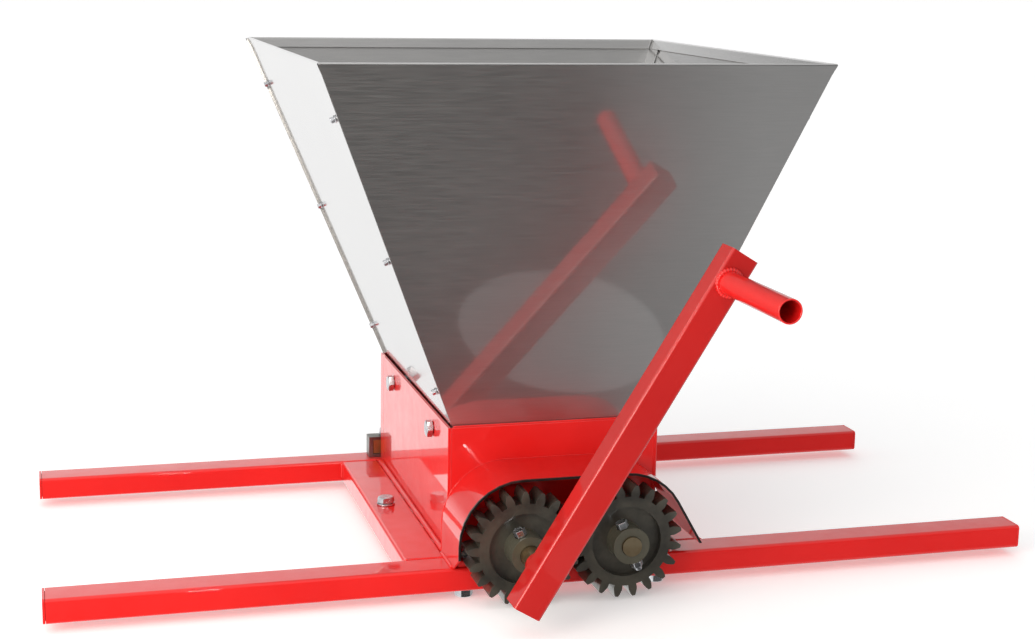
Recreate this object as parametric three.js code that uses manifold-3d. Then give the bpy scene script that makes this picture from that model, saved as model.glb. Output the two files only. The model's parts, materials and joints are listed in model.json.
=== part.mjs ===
// A hand-cranked grape crusher: a stainless hopper on a red steel body with two
// meshing rollers, carried by two long rails that lie across a tub.
// Millimetres. X runs along the rails, Y from the crank side to the back, Z up.
// The model is drawn around the middle of the hopper and the underside of the
// rails, and `machine` at the end moves it to the middle of its own footprint.

import * as THREE from 'three';
import { mergeVertices } from 'three/addons/utils/BufferGeometryUtils.js';
import Module from 'manifold-3d';

const wasm = await Module();
wasm.setup();

// ---------------------------------------------------------------- dimensions

const GAP = 0.3; // clearance between neighbouring pieces
const PAST = 1; // how far a cutting tool reaches past the piece it cuts
const ARC_STEP = Math.PI / 6; // the most that a round edge turns from one face to the next
const SIDES = { hexagon: 6, screw: 10, pin: 12, bolt: 16, tube: 28, hub: 36 }; // faces of round bars
const CORNER_STEPS = 2; // faces of a tube's rounded corner

const RAIL = {
  length: 825, height: 20, depth: 30, wall: 2, corner: 3,
  middleX: 1.5, // the rails reach this much further to the right of the hopper
  frontY: -187.6, // front face of the front rail
  backY: 161.5, // rear face of the rear rail
};
const RAIL_CAP = { thick: 2, plug: 10, slack: 1 };
const CROSS = { halfX: 111.5, width: 35, boltX: 114, boltY: -10 }; // members across the rails

const BODY = {
  halfX: 90, frontY: -146, backY: 138, topZ: 124.7, bottomZ: RAIL.height + GAP, wall: 2.5,
  fold: 14, // the back plate's sides are folded forward this far
};
const BODY_BOLT = { z: 109.5, y: { front: -88, rear: 76 } };
const HOPPER = {
  halfX: 205.3, halfY: 211.5, topZ: 421, // outside of the rim
  sheet: 1.5, hemHeight: 9, hemThick: 3.5, hemRound: 1.2,
  inset: 1, // space between the hopper's neck and the body plates
  neckRise: 1, // the neck ends this far above the body
  skirtZ: 96, // lower edge of the neck, inside the body
  flange: 24, // width of the corner flanges of the end panels
  flangeRise: 6, // the flanges start this far above the neck
};

const AXLE = { z: 41, halfX: 42.5, radius: 8, backY: 158, plateClearance: 2, pastHub: 2 };
const GEAR = {
  teeth: 20, addendum: 4.25, dedendum: 5.3, pressure: THREE.MathUtils.degToRad(20), backlash: 0.7,
  backY: -190, frontY: -212, hubR: 15, grooveR: 29, grooveDepth: 6,
};
const HUB_FRONT = { left: -228, right: -224 };
const ROLLER = { tipR: 40, valleyR: 34, lobes: 8, endGap: 3.5 };

const FRONT_BEARER = {
  halfX: 90, footBack: -160, footFront: -185.5, foot: 5,
  webBack: -165, webFront: -177, webPastAxle: 26, topZ: 62,
};
const BUSH = { radius: 11, flangeR: 14, flange: 3 };
const REAR_CHANNEL = { halfX: 101, frontY: 140, backY: 154, height: 20, wall: 3 };
const BLOCK = { halfX: 15, frontY: 141, backY: 150.5, topZ: 57 };
const END_BLOCK = { outerX: 97, innerX: 87 };

const GUARD = {
  sheet: 2, radius: 52.5, centreZ: 44, frontY: -207,
  flare: THREE.MathUtils.degToRad(30), endZ: 33, liftZ: 34,
  leftSteps: 8, rightSteps: 6, // faces of its two round stretches
};

const CRANK = {
  angle: THREE.MathUtils.degToRad(58.6), size: 24, wall: 2, corner: 2.5,
  below: 32.5, above: 283.5, // arm on each side of the shaft
  frontY: -281, plug: 8, plugInset: 0.5, plugCorner: 1,
};
const HANDLE = { reach: 259.5, radius: 9.2, wall: 1.2, length: 110 };
const COLLAR = { radius: 10.7, length: 7 };

const BOLT = { shankR: 4, headR: 7.5, head: 5.5, washerR: 8, washer: 1.6, tail: 2 };
const RAIL_BOLT = { x: 82, nut: 8, clear: 20 }; // the machine stands on these four nuts
const SCREW = { headR: 3, head: 4, shankR: 2, reach: 7, inset: 11, rows: [0.143, 0.525, 0.903] };
const PIN = { radius: 3, headR: 5.2, head: 5.5, nut: 5, tail: 3, angle: THREE.MathUtils.degToRad(112) };

const innerFrontY = BODY.frontY + BODY.wall;
const innerBackY = BODY.backY - BODY.wall;
const pitchR = AXLE.halfX;
const armBackY = CRANK.frontY + CRANK.size;

// ----------------------------------------------------------------- materials

const paint = (name, color, roughness, metalness) =>
  new THREE.MeshStandardMaterial({ name, color, roughness, metalness });

const redPaint = paint('red powder coat', 0xd01713, 0.3, 0.0);
const stainless = paint('brushed stainless steel', 0xb9bab8, 0.3, 1.0);
const castIron = paint('dark cast iron', 0x3c3b3a, 0.6, 0.8);
const steel = paint('bright steel', 0x9a9792, 0.35, 1.0);
const zinc = paint('zinc-plated steel', 0xc4c6c8, 0.3, 1.0);
const bronze = paint('bearing bronze', 0xb08a4a, 0.4, 1.0);
const aluminium = paint('cast aluminium', 0xb4b6b8, 0.45, 1.0);

// ------------------------------------------------------------------- helpers

const X = new THREE.Vector3(1, 0, 0);
const Y = new THREE.Vector3(0, 1, 0);
const Z = new THREE.Vector3(0, 0, 1);

const machine = new THREE.Group();

function addNode(name, shape, material) {
  const geometry = shape.isBufferGeometry ? shape : toGeometry(shape);
  geometry.computeVertexNormals();
  const mesh = new THREE.Mesh(geometry, material);
  mesh.name = name;
  machine.add(mesh);
}

function toSolid(geometry) {
  const bare = geometry.clone();
  bare.deleteAttribute('normal');
  bare.deleteAttribute('uv');
  const merged = mergeVertices(bare, 1e-4);
  return new wasm.Manifold(new wasm.Mesh({
    numProp: 3,
    vertProperties: new Float32Array(merged.attributes.position.array),
    triVerts: new Uint32Array(merged.index.array),
  }));
}

function toGeometry(solid) {
  const mesh = solid.getMesh();
  const geometry = new THREE.BufferGeometry();
  geometry.setAttribute('position', new THREE.BufferAttribute(mesh.vertProperties, 3));
  geometry.setIndex(new THREE.BufferAttribute(mesh.triVerts, 1));
  return geometry;
}

const join = (...solids) => solids.reduce((all, one) => all.add(one));
const cut = (solid, ...tools) => tools.reduce((left, tool) => left.subtract(tool), solid);

function box(x0, x1, y0, y1, z0, z1) {
  const geometry = new THREE.BoxGeometry(x1 - x0, y1 - y0, z1 - z0);
  return toSolid(geometry.translate((x0 + x1) / 2, (y0 + y1) / 2, (z0 + z1) / 2));
}

// A round bar along Y, X or Z, from one end to the other.
function bar(radius, from, to, segments = 24) {
  const length = from.distanceTo(to);
  const geometry = new THREE.CylinderGeometry(radius, radius, length, segments);
  const turn = new THREE.Quaternion().setFromUnitVectors(Y, to.clone().sub(from).normalize());
  geometry.applyQuaternion(turn);
  const middle = from.clone().add(to).multiplyScalar(0.5);
  return toSolid(geometry.translate(middle.x, middle.y, middle.z));
}

const barY = (radius, x, z, y0, y1, segments) =>
  bar(radius, new THREE.Vector3(x, y0, z), new THREE.Vector3(x, y1, z), segments);
const barX = (radius, y, z, x0, x1, segments) =>
  bar(radius, new THREE.Vector3(x0, y, z), new THREE.Vector3(x1, y, z), segments);
const barZ = (radius, x, y, z0, z1, segments) =>
  bar(radius, new THREE.Vector3(x, y, z0), new THREE.Vector3(x, y, z1), segments);

function extrude(shape, depth, curveSegments = 6) {
  return new THREE.ExtrudeGeometry(shape, { depth, bevelEnabled: false, curveSegments });
}

// An outline in X and Z, extruded from y0 to y1.
function extrudeAlongY(shape, y0, y1, curveSegments) {
  const geometry = extrude(shape, y1 - y0, curveSegments);
  geometry.applyMatrix4(new THREE.Matrix4().makeBasis(X, Z, Y.clone().negate()));
  return toSolid(geometry.translate(0, y1, 0));
}

// An outline in Y and Z, extruded from x0 to x1.
function extrudeAlongX(shape, x0, x1, curveSegments) {
  const geometry = extrude(shape, x1 - x0, curveSegments);
  geometry.applyMatrix4(new THREE.Matrix4().makeBasis(Y, Z, X));
  return toSolid(geometry.translate(x0, 0, 0));
}

// An outline in X and Y, extruded from z0 to z1.
function extrudeAlongZ(shape, z0, z1, curveSegments) {
  return toSolid(extrude(shape, z1 - z0, curveSegments).translate(0, 0, z0));
}

const polygon = (points) => new THREE.Shape(points.map(([a, b]) => new THREE.Vector2(a, b)));

function roundedRectangle(Path, width, height, radius) {
  const path = new Path();
  const a = width / 2;
  const b = height / 2;
  path.moveTo(a, b - radius);
  path.absarc(a - radius, b - radius, radius, 0, Math.PI / 2);
  path.absarc(-a + radius, b - radius, radius, Math.PI / 2, Math.PI);
  path.absarc(-a + radius, -b + radius, radius, Math.PI, 1.5 * Math.PI);
  path.absarc(a - radius, -b + radius, radius, 1.5 * Math.PI, 2 * Math.PI);
  path.closePath();
  return path;
}

function tubeShape(width, height, wall, corner) {
  const shape = roundedRectangle(THREE.Shape, width, height, corner);
  shape.holes.push(roundedRectangle(THREE.Path, width - 2 * wall, height - 2 * wall, corner - wall / 2));
  return shape;
}

// --------------------------------------------------------------------- frame

const railMiddleY = { front: RAIL.frontY + RAIL.depth / 2, rear: RAIL.backY - RAIL.depth / 2 };
const crossFrontY = RAIL.frontY + RAIL.depth + GAP;
const crossBackY = RAIL.backY - RAIL.depth - GAP;

// A rail's free lengths, beyond its bolts, are what lies on the tub. They are drawn
// apart from its middle, so that the underside of each is a face without a nut.
function makeRail(name, middleY) {
  const half = RAIL.length / 2 - RAIL_CAP.thick - GAP;
  const section = tubeShape(RAIL.depth, RAIL.height, RAIL.wall, RAIL.corner);
  const free = RAIL_BOLT.x + RAIL_BOLT.clear;
  const ends = [RAIL.middleX - half, RAIL.middleX + half];
  const lengths = [[ends[0], -free], [-free, free], [free, ends[1]]].map(([from, to]) =>
    extrudeAlongX(section, from, to, CORNER_STEPS));
  const tube = join(...lengths).translate([0, middleY, RAIL.height / 2]);
  const holes = [-1, 1].map((side) =>
    barZ(BOLT.shankR + GAP, side * RAIL_BOLT.x, middleY, -PAST, RAIL.height + PAST, SIDES.bolt));
  addNode(name, cut(tube, ...holes), redPaint);
}

function makeRailCap(name, side, middleY) {
  const outer = RAIL.middleX + side * RAIL.length / 2;
  const inner = outer - side * RAIL_CAP.thick;
  const plugEnd = inner - side * RAIL_CAP.plug;
  const clear = RAIL.wall + GAP;
  const plugHalf = RAIL.depth / 2 - clear - RAIL_CAP.slack;
  const plugStart = inner + (side * RAIL_CAP.thick) / 2;
  const cover = extrudeAlongX(
    roundedRectangle(THREE.Shape, RAIL.depth, RAIL.height, RAIL.corner),
    Math.min(outer, inner), Math.max(outer, inner), CORNER_STEPS,
  ).translate([0, middleY, RAIL.height / 2]);
  const plug = box(
    Math.min(plugEnd, plugStart), Math.max(plugEnd, plugStart),
    middleY - plugHalf, middleY + plugHalf,
    clear, RAIL.height - clear,
  );
  addNode(name, join(cover, plug), redPaint);
}

function makeCrossMember(name, side) {
  const section = tubeShape(CROSS.width, RAIL.height, RAIL.wall, RAIL.corner);
  const tube = extrudeAlongY(section, crossFrontY, crossBackY, CORNER_STEPS)
    .translate([side * CROSS.halfX, 0, RAIL.height / 2]);
  const hole = barZ(BOLT.shankR + GAP, side * CROSS.boltX, CROSS.boltY,
    -PAST, RAIL.height + PAST, SIDES.bolt);
  addNode(name, cut(tube, hole), redPaint);
}

// A hexagon bolt with its washer and nut, standing through a tube from above.
function makeUprightBolt(name, x, y, seatZ, nutHeight) {
  const shank = barZ(BOLT.shankR, x, y, -nutHeight / 2, seatZ + BOLT.head / 2, SIDES.bolt);
  const headZ = seatZ + BOLT.washer;
  const washer = barZ(BOLT.washerR, x, y, seatZ, headZ, SIDES.bolt);
  const head = barZ(BOLT.headR, x, y, headZ - GAP, headZ + BOLT.head, SIDES.hexagon);
  const nut = barZ(BOLT.headR, x, y, -nutHeight, -GAP, SIDES.hexagon);
  addNode(name, join(shank, washer, head, nut), zinc);
}

for (const [end, middleY] of Object.entries(railMiddleY)) {
  makeRail(`${end}_rail`, middleY);
  makeRailCap(`${end}_rail_cap_left`, -1, middleY);
  makeRailCap(`${end}_rail_cap_right`, 1, middleY);
}
for (const [hand, side] of [['left', -1], ['right', 1]]) {
  makeCrossMember(`cross_member_${hand}`, side);
  makeUprightBolt(`cross_bolt_${hand}`, side * CROSS.boltX, CROSS.boltY, RAIL.height + GAP, BOLT.head);
  makeUprightBolt(`front_rail_bolt_${hand}`, side * RAIL_BOLT.x, railMiddleY.front,
    RAIL.height + FRONT_BEARER.foot + 2 * GAP, RAIL_BOLT.nut);
  makeUprightBolt(`rear_rail_bolt_${hand}`, side * RAIL_BOLT.x, railMiddleY.rear,
    RAIL.height + REAR_CHANNEL.height + 2 * GAP, RAIL_BOLT.nut);
}

// ---------------------------------------------------------------------- body

const shaftHoleR = AXLE.radius + AXLE.plateClearance;

function makeSidePlate(name, side) {
  const outer = side * BODY.halfX;
  const inner = outer - side * BODY.wall;
  const plate = box(Math.min(outer, inner), Math.max(outer, inner),
    BODY.frontY, BODY.backY - BODY.fold - GAP, BODY.bottomZ, BODY.topZ);
  const holes = Object.values(BODY_BOLT.y).map((y) =>
    barX(BOLT.shankR + GAP, y, BODY_BOLT.z, -BODY.halfX - PAST, BODY.halfX + PAST, SIDES.bolt));
  addNode(name, cut(plate, ...holes), redPaint);
}

function shaftHoles(y0, y1) {
  return [-1, 1].map((side) => barY(shaftHoleR, side * AXLE.halfX, AXLE.z, y0 - PAST, y1 + PAST));
}

function makeFrontPlate() {
  const half = BODY.halfX - BODY.wall - GAP;
  const plate = box(-half, half, BODY.frontY, innerFrontY, BODY.bottomZ, BODY.topZ);
  addNode('body_plate_front', cut(plate, ...shaftHoles(BODY.frontY, innerFrontY)), redPaint);
}

function makeBackPlate() {
  const outside = box(-BODY.halfX, BODY.halfX, BODY.backY - BODY.fold, BODY.backY, BODY.bottomZ, BODY.topZ);
  const innerX = BODY.halfX - BODY.wall;
  const inside = box(-innerX, innerX, BODY.backY - BODY.fold - PAST, innerBackY,
    BODY.bottomZ - PAST, BODY.topZ + PAST);
  addNode('body_plate_back', cut(outside, inside, ...shaftHoles(innerBackY, BODY.backY)), redPaint);
}

// A hexagon bolt lying through a side plate and the hopper's neck behind it.
function makeSideBolt(name, side, y) {
  const face = BODY.halfX + GAP;
  const neckInside = BODY.halfX - BODY.wall - HOPPER.inset - HOPPER.sheet;
  const reach = neckInside - BOLT.head - BOLT.tail;
  const along = (radius, from, to, segments) => {
    const ends = [side * from, side * to].sort((a, b) => a - b);
    return barX(radius, y, BODY_BOLT.z, ...ends, segments);
  };
  const shank = along(BOLT.shankR, reach, face + BOLT.head / 2, SIDES.bolt);
  const head = along(BOLT.headR, face, face + BOLT.head, SIDES.hexagon);
  const nut = along(BOLT.headR, neckInside - GAP, neckInside - BOLT.head, SIDES.hexagon);
  addNode(name, join(shank, head, nut), zinc);
}

makeSidePlate('body_plate_left', -1);
makeSidePlate('body_plate_right', 1);
makeFrontPlate();
makeBackPlate();
for (const [hand, side] of [['left', -1], ['right', 1]]) {
  for (const [end, y] of Object.entries(BODY_BOLT.y)) {
    makeSideBolt(`body_bolt_${hand}_${end}`, side, y);
  }
}

// -------------------------------------------------------------------- hopper

// Outside of the neck, where the slanted panels end and it goes down into the body.
const neck = {
  halfX: BODY.halfX - BODY.wall - HOPPER.inset,
  frontY: innerFrontY + HOPPER.inset,
  backY: innerBackY - HOPPER.inset,
};
const neckTopZ = BODY.topZ + HOPPER.neckRise;

const hemLean = THREE.MathUtils.degToRad(20); // the folded rim's outside leans like the sheet

function arcPoints(centreX, centreZ, radius, start, end) {
  const steps = Math.ceil((end - start) / ARC_STEP);
  return Array.from({ length: steps + 1 }, (_, i) => {
    const turn = start + ((end - start) * i) / steps;
    return [centreX + radius * Math.cos(turn), centreZ + radius * Math.sin(turn)];
  });
}

// Section of one hopper sheet: reach is the distance out from the hopper's middle
// at the neck and at the rim, and shift moves the whole sheet inwards.
function sheetProfile(neckReach, rimReach, shift, withHem) {
  const slope = (rimReach - neckReach) / (HOPPER.topZ - neckTopZ);
  const at = (z) => neckReach + (z - neckTopZ) * slope - shift;
  const hemZ = HOPPER.topZ - HOPPER.hemHeight;
  const inner = HOPPER.sheet;
  const rim = at(HOPPER.topZ);
  const round = HOPPER.hemRound;
  const roundZ = HOPPER.topZ - round;
  const hem = [
    [at(hemZ), hemZ],
    ...arcPoints(rim - round, roundZ, round, -hemLean, Math.PI / 2),
    ...arcPoints(rim - HOPPER.hemThick + round, roundZ, round, Math.PI / 2, Math.PI),
    [at(hemZ) - HOPPER.hemThick, hemZ],
    [at(hemZ) - inner, hemZ],
  ];
  const plain = [[rim, HOPPER.topZ], [rim - inner, HOPPER.topZ]];
  return [
    [neckReach - shift, HOPPER.skirtZ],
    [neckReach - shift, neckTopZ],
    ...(withHem ? hem : plain),
    [neckReach - shift - inner, neckTopZ],
    [neckReach - shift - inner, HOPPER.skirtZ],
  ];
}

const mirrored = (points) => points.map(([a, b]) => [-a, b]);

// The four corners, each a vertical plane through the slanted corner edge.
const rimCorner = (sideX, sideY) => new THREE.Vector2(sideX * HOPPER.halfX, sideY * HOPPER.halfY);
const neckCorner = (sideX, sideY) =>
  new THREE.Vector2(sideX * neck.halfX, sideY < 0 ? neck.frontY : neck.backY);

// One corner plane as a line in plan, moved half a gap towards the panel that ends
// there and continued a little past the rim and past the neck.
function cornerLine(corner, otherCorner) {
  const beyond = 0.06;
  const rim = rimCorner(...corner);
  const low = neckCorner(...corner);
  const setback = new THREE.Vector2(low.y - rim.y, rim.x - low.x).setLength(GAP / 2);
  if (setback.dot(rimCorner(...otherCorner).sub(rim)) < 0) {
    setback.negate();
  }
  return {
    outer: rim.clone().lerp(low, -beyond).add(setback),
    inner: low.clone().lerp(rim, -beyond).add(setback),
  };
}

// The plan of one panel's share of the hopper, between its two corner planes.
function panelPlan(cornerA, cornerB) {
  const a = cornerLine(cornerA, cornerB);
  const b = cornerLine(cornerB, cornerA);
  return [a.outer, b.outer, b.inner, a.inner].map((p) => [p.x, p.y]);
}

// Screws sit on the side panels in a row beside each corner edge, at shares of its length.
function screwPlaces(side, sideY) {
  return SCREW.rows.map((share) => {
    const plan = rimCorner(side, sideY).lerp(neckCorner(side, sideY), share);
    const z = THREE.MathUtils.lerp(HOPPER.topZ, neckTopZ, share);
    return new THREE.Vector3(plan.x, plan.y - sideY * SCREW.inset, z);
  });
}

const sideNormal = (side) => {
  const rise = HOPPER.topZ - neckTopZ;
  const run = HOPPER.halfX - neck.halfX;
  return new THREE.Vector3(side * rise, 0, -run).normalize();
};

function screwHoles(side, sideY) {
  const normal = sideNormal(side);
  return screwPlaces(side, sideY).map((place) => {
    const inside = place.clone().addScaledVector(normal, -SCREW.reach);
    const outside = place.clone().addScaledVector(normal, PAST);
    return bar(SCREW.shankR + GAP, inside, outside, SIDES.screw);
  });
}

function makeSidePanel(name, side) {
  const points = sheetProfile(neck.halfX, HOPPER.halfX, 0, true);
  const outline = side < 0 ? mirrored(points) : points;
  const sheet = extrudeAlongY(polygon(outline), -HOPPER.halfY - PAST, HOPPER.halfY + PAST);
  const plan = panelPlan([side, -1], [side, 1]);
  const share = extrudeAlongZ(polygon(plan), HOPPER.skirtZ - PAST, HOPPER.topZ + PAST);
  const boltHoles = Object.values(BODY_BOLT.y).map((y) =>
    barX(BOLT.shankR + GAP, y, BODY_BOLT.z, -BODY.halfX, BODY.halfX, SIDES.bolt));
  const trimmed = sheet.intersect(share);
  addNode(name, cut(trimmed, ...boltHoles, ...screwHoles(side, -1), ...screwHoles(side, 1)), stainless);
}

// The corner flange of an end panel: a strip of sheet just inside the side panel.
function cornerFlange(side, sideY) {
  const shift = HOPPER.sheet + GAP;
  const points = sheetProfile(neck.halfX, HOPPER.halfX, shift, false);
  const outline = side < 0 ? mirrored(points) : points;
  const sheet = extrudeAlongY(polygon(outline), -HOPPER.halfY, HOPPER.halfY);
  const rim = rimCorner(side, sideY);
  const low = neckCorner(side, sideY);
  // It runs from the middle of the end panel's sheet to its own free edge.
  const start = new THREE.Vector2(0, (sideY * HOPPER.sheet) / 2);
  const end = new THREE.Vector2(0, -sideY * HOPPER.flange);
  const corners = [
    rim.clone().add(start), low.clone().add(start),
    low.clone().add(end), rim.clone().add(end),
  ];
  const strip = polygon(corners.map((p) => [p.x, p.y]));
  const hemZ = HOPPER.topZ - HOPPER.hemHeight - GAP;
  return sheet.intersect(extrudeAlongZ(strip, neckTopZ + HOPPER.flangeRise, hemZ));
}

function makeEndPanel(name, sideY) {
  const neckReach = sideY < 0 ? -neck.frontY : neck.backY;
  const points = sheetProfile(neckReach, HOPPER.halfY, 0, true);
  const outline = sideY < 0 ? mirrored(points) : points;
  const sheet = extrudeAlongX(polygon(outline), -HOPPER.halfX - PAST, HOPPER.halfX + PAST);
  const plan = panelPlan([-1, sideY], [1, sideY]);
  const share = extrudeAlongZ(polygon(plan), HOPPER.skirtZ - PAST, HOPPER.topZ + PAST);
  const flanges = [-1, 1].map((side) => cornerFlange(side, sideY));
  const holes = [-1, 1].flatMap((side) => screwHoles(side, sideY));
  const trimmed = sheet.intersect(share);
  addNode(name, cut(join(trimmed, ...flanges), ...holes), stainless);
}

function makeScrews(side, sideY, prefix) {
  const normal = sideNormal(side);
  screwPlaces(side, sideY).forEach((place, i) => {
    const at = (distance) => place.clone().addScaledVector(normal, distance);
    const head = bar(SCREW.headR, at(GAP), at(GAP + SCREW.head), SIDES.pin);
    const shank = bar(SCREW.shankR, at(-SCREW.reach), at(GAP + SCREW.head / 2), SIDES.screw);
    addNode(`${prefix}_${i + 1}`, join(head, shank), zinc);
  });
}

makeSidePanel('hopper_panel_left', -1);
makeSidePanel('hopper_panel_right', 1);
makeEndPanel('hopper_panel_front', -1);
makeEndPanel('hopper_panel_back', 1);
for (const [hand, side] of [['left', -1], ['right', 1]]) {
  for (const [end, sideY] of [['front', -1], ['back', 1]]) {
    makeScrews(side, sideY, `hopper_screw_${hand}_${end}`);
  }
}

// ------------------------------------------------------------------ bearings

function makeFrontBearer() {
  const foot = box(-FRONT_BEARER.halfX, FRONT_BEARER.halfX, FRONT_BEARER.footFront, FRONT_BEARER.footBack,
    RAIL.height + GAP, RAIL.height + GAP + FRONT_BEARER.foot);
  const webHalf = AXLE.halfX + FRONT_BEARER.webPastAxle;
  const web = box(-webHalf, webHalf, FRONT_BEARER.webFront, FRONT_BEARER.webBack,
    RAIL.height + 2 * GAP, FRONT_BEARER.topZ);
  const boltHoles = [-1, 1].map((side) =>
    barZ(BOLT.shankR + GAP, side * RAIL_BOLT.x, railMiddleY.front,
      RAIL.height, FRONT_BEARER.topZ, SIDES.bolt));
  const bushHoles = [-1, 1].map((side) =>
    barY(BUSH.radius + GAP, side * AXLE.halfX, AXLE.z,
      FRONT_BEARER.webFront - PAST, FRONT_BEARER.webBack + PAST));
  addNode('front_bearer', cut(join(foot, web), ...boltHoles, ...bushHoles), redPaint);
}

function makeFrontBush(name, side) {
  const x = side * AXLE.halfX;
  const sleeve = barY(BUSH.radius, x, AXLE.z, FRONT_BEARER.webFront - BUSH.flange, FRONT_BEARER.webBack);
  const flange = barY(BUSH.flangeR, x, AXLE.z,
    FRONT_BEARER.webFront - BUSH.flange - GAP, FRONT_BEARER.webFront - GAP);
  const bore = barY(AXLE.radius + GAP, x, AXLE.z,
    FRONT_BEARER.webFront - BUSH.flange - PAST, FRONT_BEARER.webBack + PAST);
  addNode(name, cut(join(sleeve, flange), bore), bronze);
}

// The rear channel lies on the rail with its open side to the front.
function makeRearChannel() {
  const z0 = RAIL.height + GAP;
  const z1 = z0 + REAR_CHANNEL.height;
  const inner = REAR_CHANNEL.wall;
  const outer = box(-REAR_CHANNEL.halfX, REAR_CHANNEL.halfX,
    REAR_CHANNEL.frontY, REAR_CHANNEL.backY, z0, z1);
  const hollow = box(-END_BLOCK.outerX, END_BLOCK.outerX,
    REAR_CHANNEL.frontY - PAST, REAR_CHANNEL.backY - inner, z0 + inner, z1 - inner);
  const slots = [-1, 1].map((side) => box(
    side * AXLE.halfX - BLOCK.halfX - GAP, side * AXLE.halfX + BLOCK.halfX + GAP,
    REAR_CHANNEL.frontY - PAST, BLOCK.backY + GAP, z1 - inner - PAST, z1 + PAST));
  const axleHoles = [-1, 1].map((side) =>
    barY(shaftHoleR, side * AXLE.halfX, AXLE.z, REAR_CHANNEL.frontY, REAR_CHANNEL.backY + PAST));
  const boltHoles = [-1, 1].map((side) =>
    barZ(BOLT.shankR + GAP, side * RAIL_BOLT.x, railMiddleY.rear, z0 - PAST, z1 + PAST, SIDES.bolt));
  addNode('rear_channel', cut(outer, hollow, ...slots, ...axleHoles, ...boltHoles), steel);
}

function makeRearBlock(name, side) {
  const x = side * AXLE.halfX;
  const z0 = RAIL.height + REAR_CHANNEL.wall + 2 * GAP;
  const block = box(x - BLOCK.halfX, x + BLOCK.halfX, BLOCK.frontY, BLOCK.backY, z0, BLOCK.topZ);
  const bore = barY(AXLE.radius + GAP, x, AXLE.z, BLOCK.frontY - PAST, BLOCK.backY + PAST);
  addNode(name, cut(block, bore), bronze);
}

// A bronze block fills each end of the channel.
function makeEndBlock(name, side) {
  const ends = [side * END_BLOCK.innerX, side * (END_BLOCK.outerX - GAP)].sort((a, b) => a - b);
  const z0 = RAIL.height + REAR_CHANNEL.wall + 2 * GAP;
  const z1 = RAIL.height + REAR_CHANNEL.height - REAR_CHANNEL.wall;
  addNode(name, box(...ends, BLOCK.frontY, BLOCK.backY, z0, z1), bronze);
}

makeFrontBearer();
makeRearChannel();
for (const [hand, side] of [['left', -1], ['right', 1]]) {
  makeFrontBush(`front_bush_${hand}`, side);
  makeRearBlock(`rear_bearing_${hand}`, side);
  makeEndBlock(`channel_block_${hand}`, side);
}

// --------------------------------------------------------- rollers and gears

const involute = (angle) => Math.tan(angle) - angle;

// Half the angle that a tooth fills at a given radius.
function toothHalfAngle(radius) {
  const baseR = pitchR * Math.cos(GEAR.pressure);
  const pressureHere = Math.acos(Math.min(1, baseR / Math.max(radius, baseR)));
  const atPitch = Math.PI / (2 * GEAR.teeth) - GEAR.backlash / (4 * pitchR);
  return atPitch + involute(GEAR.pressure) - involute(pressureHere);
}

function gearOutline(centreX, startAngle) {
  const rootR = pitchR - GEAR.dedendum;
  const tipR = pitchR + GEAR.addendum;
  const baseR = pitchR * Math.cos(GEAR.pressure);
  const flank = [rootR, baseR, (baseR + pitchR) / 2, (pitchR + tipR) / 2, tipR];
  const points = [];
  const put = (radius, angle) =>
    points.push([centreX + radius * Math.cos(angle), AXLE.z + radius * Math.sin(angle)]);
  for (let tooth = 0; tooth < GEAR.teeth; tooth += 1) {
    const middle = startAngle + (tooth * 2 * Math.PI) / GEAR.teeth;
    flank.forEach((radius) => put(radius, middle - toothHalfAngle(radius)));
    [...flank].reverse().forEach((radius) => put(radius, middle + toothHalfAngle(radius)));
  }
  return polygon(points);
}

const pinDrill = GEAR.hubR + PAST;
const pinDirection = new THREE.Vector3(Math.cos(PIN.angle), 0, Math.sin(PIN.angle));

// A cross bolt lies through hub and shaft, with its head and its nut outside the hub.
function pinBar(radius, x, y, from, to, segments) {
  const centre = new THREE.Vector3(x, y, AXLE.z);
  return bar(radius, centre.clone().addScaledVector(pinDirection, from),
    centre.clone().addScaledVector(pinDirection, to), segments);
}

const pinY = (hubFront) => (hubFront + GEAR.frontY) / 2;

function makeGear(name, side, hubFront) {
  const x = side * AXLE.halfX;
  const halfTooth = Math.PI / GEAR.teeth;
  const disc = extrudeAlongY(gearOutline(x, side < 0 ? 0 : halfTooth), GEAR.frontY, GEAR.backY);
  const groove = cut(
    barY(GEAR.grooveR, x, AXLE.z, GEAR.frontY - PAST, GEAR.frontY + GEAR.grooveDepth, SIDES.hub),
    barY(GEAR.hubR, x, AXLE.z, GEAR.frontY - 2 * PAST, GEAR.backY, SIDES.hub),
  );
  const hub = barY(GEAR.hubR, x, AXLE.z, hubFront, GEAR.backY - PAST, SIDES.hub);
  const bore = barY(AXLE.radius + GAP, x, AXLE.z, hubFront - PAST, GEAR.backY + PAST);
  const pinHole = pinBar(PIN.radius + GAP, x, pinY(hubFront), -pinDrill, pinDrill, SIDES.pin);
  addNode(name, cut(join(cut(disc, groove), hub), bore, pinHole), castIron);
}

function makeShaft(name, side, frontY, hubFront) {
  const x = side * AXLE.halfX;
  const shaft = barY(AXLE.radius, x, AXLE.z, frontY, AXLE.backY);
  const pinHole = pinBar(PIN.radius + GAP, x, pinY(hubFront), -pinDrill, pinDrill, SIDES.pin);
  addNode(name, cut(shaft, pinHole), steel);
}

function makeCrossPin(name, side, hubFront) {
  const x = side * AXLE.halfX;
  const y = pinY(hubFront);
  const start = GEAR.hubR + GAP;
  const shank = pinBar(PIN.radius, x, y, -start - PIN.nut - PIN.tail, start + PIN.head / 2, SIDES.pin);
  const head = pinBar(PIN.headR, x, y, start, start + PIN.head, SIDES.hexagon);
  const nut = pinBar(PIN.headR, x, y, -start - PIN.nut, -start, SIDES.hexagon);
  addNode(name, join(shank, head, nut), zinc);
}

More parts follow.
